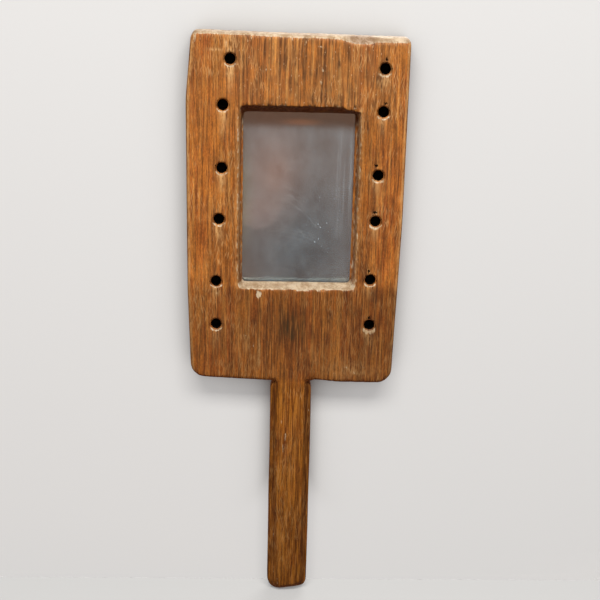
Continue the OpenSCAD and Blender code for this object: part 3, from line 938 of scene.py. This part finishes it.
def brads_mesh():
    """Every brad turned from one outline, with a domed head knocked a little askew."""
    draws = np.random.default_rng(8)
    low, high = box_mm("panel_brads")
    length = high[1] - low[1]
    head_r, shank_r = BRAD_HEAD_D / 2, BRAD_D / 2
    # From the middle of the head to the point, as (radius, depth below the head's top)
    outline = [(0.55 * head_r, 0.03), (0.85 * head_r, 0.12), (head_r, 0.26),
               (0.97 * head_r, BRAD_HEAD_T), (shank_r, BRAD_HEAD_T + 0.05),
               (shank_r, length - BRAD_TAPER), (0.3 * shank_r, length - 0.2)]
    points, faces = [], []
    for bx, bz in BRADS:
        first = len(points)
        lean = draws.uniform(-0.06, 0.06, 2)
        for r, depth in outline:
            for k in range(BRAD_SIDES):
                turn = 2 * math.pi * k / BRAD_SIDES
                dx, dz = r * math.cos(turn), r * math.sin(turn)
                tilt = (lean[0] * dx + lean[1] * dz) * (depth < BRAD_HEAD_T)
                y = high[1] - depth + tilt - BRAD_SUNK
                points.append(((bx + dx) * MM, y * MM, (bz + dz) * MM))
        rings = len(outline)
        points.append((bx * MM, (high[1] - BRAD_SUNK) * MM, bz * MM))
        points.append((bx * MM, low[1] * MM, bz * MM))
        for ring in range(rings - 1):
            for k in range(BRAD_SIDES):
                a = first + ring * BRAD_SIDES + k
                b = first + ring * BRAD_SIDES + (k + 1) % BRAD_SIDES
                faces.append((a, b, b + BRAD_SIDES, a + BRAD_SIDES))
        last = first + (rings - 1) * BRAD_SIDES
        for k in range(BRAD_SIDES):
            nxt = (k + 1) % BRAD_SIDES
            faces.append((first + nxt, first + k, len(points) - 2))
            faces.append((last + k, last + nxt, len(points) - 1))
    mesh = bpy.data.meshes.new("iron_brads")
    mesh.from_pydata(points, [], faces)
    mesh.validate()
    return mesh


def dress(node, material):
    """Gives a CAD node that is kept as it is its own material."""
    mesh = frame["nodes"][node].data
    mesh.materials.clear()
    mesh.materials.append(material)


BRADS = brad_places()
add_piece(board_mesh(), oak_material(), "board")
pane = add_piece(glass_mesh(), glass_material(), "mirror_glass")
pane.data.polygons.foreach_set("use_smooth", [False] * len(pane.data.polygons))
add_piece(panel_mesh(), panel_material(), "back_panel")
add_piece(brads_mesh(), iron_material(), "panel_brads")
dress("mirror_silvering", silver_material())
dress("packing_card", card_material())

# ------------------------ stage, light and camera

PALE = srgb(150, 148, 145)
DULL = srgb(104, 88, 76)
# What the mirror and every gloss sees of the room, as light
ROOM = (0.28, 0.135, 0.085, 1.0)
# The sky's own light on the object, and how bright it looks
SKY, SKY_SEEN = (0.22, 0.22, 0.22, 1.0), (0.5, 0.5, 0.5, 1.0)
# The pale stage's own glow, and how far from the object its cover takes that off the wall
WALL_GLOW, FLOOR_GLOW, FAR_GLOW = 0.42, 0.24, 0.45
COVER_REACH = 0.03
# In millimetres: how far out the floor's glow starts to grow and where it is full, and the heights
# on the wall where the object's cover starts to count and where it counts in full
GLOW_NEAR, GLOW_FAR = 400, 2000
COVER_FROM, COVER_FULL = 40, 120
# Near black: painted shade on the wall right behind the object
COVERED = (0.01, 0.01, 0.01, 1.0)


def stage_material(name, glow, facing=None):
    """Pale to the camera, dull to bounced light, and an even brown glow to the mirror.
    With facing set, the surface is there only for a camera that looks nearly along +Y."""
    s = Shader(name)
    s.nodes.remove(s.principled)
    path = s.node("LightPath").outputs

    def shader(kind, colour):
        return s.node(kind, Color=colour).outputs[0]

    def blend(share, first, second):
        node = s.node("MixShader")
        for socket, value in zip(node.inputs, (share, first, second)):
            s.feed(socket, value)
        return node.outputs[0]

    if facing is None:
        matt = PALE
        seen = s.ramp(s.vector("LENGTH", s.place), GLOW_NEAR, GLOW_FAR, glow, FAR_GLOW)
    else:
        # The object's cover takes the light off the wall, so the lace holes stay dark
        cover = s.node("AmbientOcclusion", Distance=COVER_REACH)
        bare = s.maths("MAXIMUM", cover.outputs["AO"], s.ramp(s.axis("Z"), COVER_FULL, COVER_FROM))
        matt = s.mix(s.ramp(bare, 0.08, 0.35), COVERED, PALE)
        seen = s.times(s.ramp(bare, 0.1, 1.0), glow)
    both = s.node("AddShader")
    s.feed(both.inputs[0], shader("BsdfDiffuse", matt))
    s.feed(both.inputs[1], s.node("Emission", Color=WHITE, Strength=seen).outputs[0])
    pale = both.outputs[0]

    if facing is None:
        dull, room = shader("BsdfDiffuse", DULL), shader("Emission", ROOM)
        surface = blend(path["Is Camera Ray"], blend(path["Is Diffuse Ray"], room, dull), pale)
    else:
        split = s.node("SeparateXYZ", Vector=s.node("NewGeometry").outputs["Incoming"])
        turned = s.ramp(split.outputs["Y"], -facing, -facing - 0.05)
        clear = shader("BsdfTransparent", WHITE)
        surface = blend(s.times(turned, path["Is Camera Ray"]), clear, pale)
    s.feed(s.nodes["Material Output"].inputs["Surface"], surface)
    return s.material


def stage_plane(name, corners, material):
    """A flat surface that belongs to the stage, not to the object."""
    mesh = bpy.data.meshes.new(name)
    mesh.from_pydata(corners, [], [(0, 1, 2, 3)])
    mesh.materials.append(material)
    plane = bpy.data.objects.new(name, mesh)
    bpy.context.scene.collection.objects.link(plane)


def area_light(name, place, aim, width, height, power):
    """A rectangular lamp, turned towards its aim. Places and sizes are in metres."""
    data = bpy.data.lights.new(name, "AREA")
    data.shape = "RECTANGLE"
    data.energy, data.size, data.size_y = power, width, height
    lamp = bpy.data.objects.new(name, data)
    bpy.context.scene.collection.objects.link(lamp)
    lamp.location = place
    lamp.rotation_mode = "QUATERNION"
    lamp.rotation_quaternion = (Vector(aim) - Vector(place)).to_track_quat("-Z", "Y")


def set_world():
    """An even pale sky, which the mirror sees as the same brown room as the floor."""
    world = bpy.data.worlds.new("studio")
    bpy.context.scene.world = world
    world.use_nodes = True
    w = Nodes(world.node_tree)
    path = w.node("LightPath").outputs
    bounced = w.mix(path["Is Diffuse Ray"], ROOM, SKY)
    w.fill(w.nodes["Background"], Color=w.mix(path["Is Camera Ray"], bounced, SKY_SEEN))


def photo_camera():
    """The photograph's view: from a little above, with the object leaning a touch to the right."""
    azimuth, elevation, roll = math.radians(-2.0), math.radians(18), math.radians(1.4)
    distance = 0.72
    target = Vector((4.2, FRONT_Y, 200.1)) * MM
    back = Vector((math.sin(azimuth) * math.cos(elevation), -math.cos(azimuth) * math.cos(elevation),
                   math.sin(elevation)))
    data = bpy.data.cameras.new("camera")
    data.lens, data.sensor_width = 72, 36
    camera = bpy.data.objects.new("camera", data)
    bpy.context.scene.collection.objects.link(camera)
    turn = (-back).to_track_quat("-Z", "Y").to_matrix() @ Matrix.Rotation(roll, 3, "Z")
    camera.matrix_world = Matrix.Translation(target + back * distance) @ turn.to_4x4()
    bpy.context.scene.camera = camera


REACH = 4.0
WALL_Y = (BACK_Y + 0.6) * MM
stage_plane("floor", [(-REACH, -REACH, 0), (REACH, -REACH, 0), (REACH, REACH, 0), (-REACH, REACH, 0)],
            stage_material("floor", FLOOR_GLOW))
stage_plane("backdrop", [(-REACH, WALL_Y, 0), (REACH, WALL_Y, 0), (REACH, WALL_Y, REACH),
                         (-REACH, WALL_Y, REACH)], stage_material("backdrop", WALL_GLOW, facing=0.8))
area_light("key", (0.02, -0.82, 1.25), (0, 0, 0.25), 1.1, 0.35, 28.8)
area_light("back_fill", (0.4, 1.2, 0.9), (0, 0, 0.2), 0.9, 0.9, 14)
set_world()
photo_camera()
bpy.context.scene.view_settings.view_transform = "Standard"
